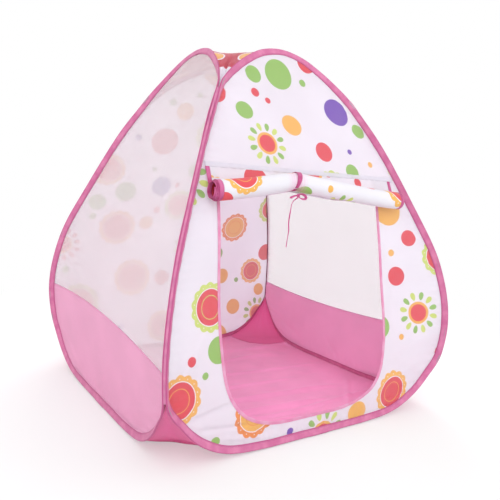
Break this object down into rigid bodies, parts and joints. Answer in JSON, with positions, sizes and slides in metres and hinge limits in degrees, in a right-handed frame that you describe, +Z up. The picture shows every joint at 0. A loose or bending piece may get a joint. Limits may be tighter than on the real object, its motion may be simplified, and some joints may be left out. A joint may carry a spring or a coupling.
{
  "type": "pop-up play tent",
  "caption": "Small pop-up play tent with four bowed wire-framed walls, printed cloth and gauze panels, a pink floor, a cross-bowed roof cap and a rolled-up door flap tied with a ribbon.",
  "frame": {"origin": "middle of the floor's underside, on the ground", "axes": "+Z up, the doorway wall faces -Y, and the left wall as seen by someone facing the doorway from outside is -X"},
  "size_m": [0.8474, 0.8474, 0.9269],
  "materials": {
    "spring_steel": "plain drawn spring wire and crimp",
    "pink_tape": "woven polyester binding tape, slight sheen",
    "pink_ribbon": "narrow polyester ribbon",
    "pink_cloth": "thin woven polyester, soft sheen",
    "dark_pink_cloth": "thin woven polyester in folds",
    "white_gauze": "thin white cloth that lets light and shapes through",
    "printed_cloth": null,
    "roof_print": null
  },
  "bodies": {
    "tent": {"front_wire": "spring_steel", "left_wire": "spring_steel", "back_wire": "spring_steel", "right_wire": "spring_steel", "front_wire_crimp": "spring_steel", "left_wire_crimp": "spring_steel", "back_wire_crimp": "spring_steel", "right_wire_crimp": "spring_steel", "front_binding": "pink_tape", "left_binding": "pink_tape", "back_binding": "pink_tape", "right_binding": "pink_tape", "door_binding": "pink_tape", "left_seam_tape": "pink_tape", "right_seam_tape": "pink_tape", "flap_left_hem": "pink_tape", "flap_right_hem": "pink_tape", "front_left_seam": "pink_tape", "back_left_seam": "pink_tape", "back_right_seam": "pink_tape", "front_right_seam": "pink_tape", "tie_front": "pink_ribbon", "tie_back": "pink_ribbon", "tie_bow": "pink_ribbon", "tie_tail": "pink_ribbon", "left_skirt": "pink_cloth", "right_skirt": "pink_cloth", "floor_cloth": "pink_cloth", "front_left_gusset": "dark_pink_cloth", "back_left_gusset": "dark_pink_cloth", "back_right_gusset": "dark_pink_cloth", "front_right_gusset": "dark_pink_cloth", "left_gauze": "white_gauze", "right_gauze": "white_gauze", "front_cloth": "printed_cloth", "back_cloth": "printed_cloth", "door_header": "printed_cloth", "door_flap": "printed_cloth", "roof_cap": "roof_print"},
    "door_roll": {"door_roll": "printed_cloth", "roll_left_hem": "pink_tape", "roll_right_hem": "pink_tape"}
  },
  "joints": [
    {"name": "door_unroll", "type": "hinge", "parent": "tent", "child": "door_roll", "pos_m": [0, 0.2801, 0.2077], "axis": [1, 0, 0], "range_deg": [0, 40.6], "deforming": ["door_flap", "flap_left_hem", "flap_right_hem", "tie_front", "tie_back", "tie_bow", "tie_tail"]}
  ]
}
